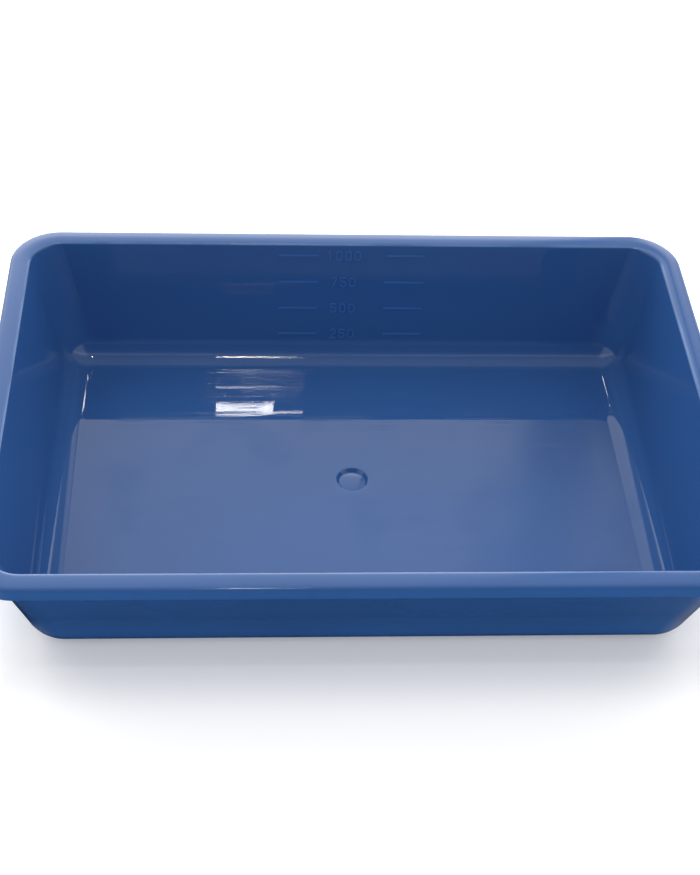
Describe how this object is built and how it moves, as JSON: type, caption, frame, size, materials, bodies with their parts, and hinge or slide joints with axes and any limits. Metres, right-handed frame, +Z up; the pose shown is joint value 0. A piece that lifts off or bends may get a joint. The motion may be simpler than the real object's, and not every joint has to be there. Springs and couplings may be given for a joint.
{
  "type": "developing tray",
  "caption": "Deep rectangular tray with sloping walls, rounded corners, turned-down rim, floor recess and a moulded volume scale inside, for holding photographic solutions.",
  "frame": {"origin": "centre of the base's underside, on the surface the tray stands on", "axes": "+Z up, +X along the tray's long side, -Y towards the front; the volume scale is inside the back wall, at +Y"},
  "size_m": [0.23, 0.162, 0.045],
  "materials": {
    "moulding": "glossy mid-blue injection moulding, lightly scuffed"
  },
  "bodies": {
    "root": {"tray": "moulding", "volume_lines": "moulding", "volume_figures": "moulding"}
  },
  "joints": []
}
